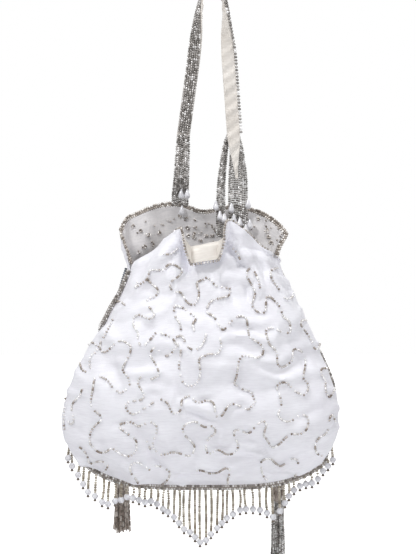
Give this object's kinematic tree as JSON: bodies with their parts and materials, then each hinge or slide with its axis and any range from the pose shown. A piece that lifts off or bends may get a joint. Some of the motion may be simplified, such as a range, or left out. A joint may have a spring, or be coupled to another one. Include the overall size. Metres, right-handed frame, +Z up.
{
  "type": "potli bag",
  "caption": "Pear-shaped drawstring pouch of beaded silk with a turned-down rim, a lobed fringe of pearl-tipped bead strands, a beaded loop handle and two tasselled ropes",
  "frame": {"origin": "under the top bend of the handle, where the loop rests on what it hangs from", "axes": "+Z up along the hanging bag, -Y towards the front face, +X to the right of a person who faces the front"},
  "size_m": [0.2334, 0.0923, 0.4865],
  "materials": {
    "silk": "soft silk",
    "satin": "satin",
    "silver_beads": "gloss",
    "taupe_beads": "gloss",
    "strand_beads": "gloss",
    "blue_grey_cord": "beaded",
    "satin_cord": "satin"
  },
  "bodies": {
    "root": {"front_panel": "silk", "back_panel": "silk", "front_lining": "satin", "back_lining": "satin", "front_rim_trim": "silver_beads", "back_rim_trim": "silver_beads", "seam_fringe": "taupe_beads", "handle_band": "satin", "handle_beads": "silver_beads", "left_handle_strands": "strand_beads", "inner_handle_strands": "strand_beads", "right_handle_strands": "strand_beads", "front_drawstring": "satin_cord", "back_drawstring": "satin_cord", "left_rope": "blue_grey_cord", "right_rope": "blue_grey_cord", "left_tassel": "taupe_beads", "right_tassel": "taupe_beads"}
  },
  "joints": []
}
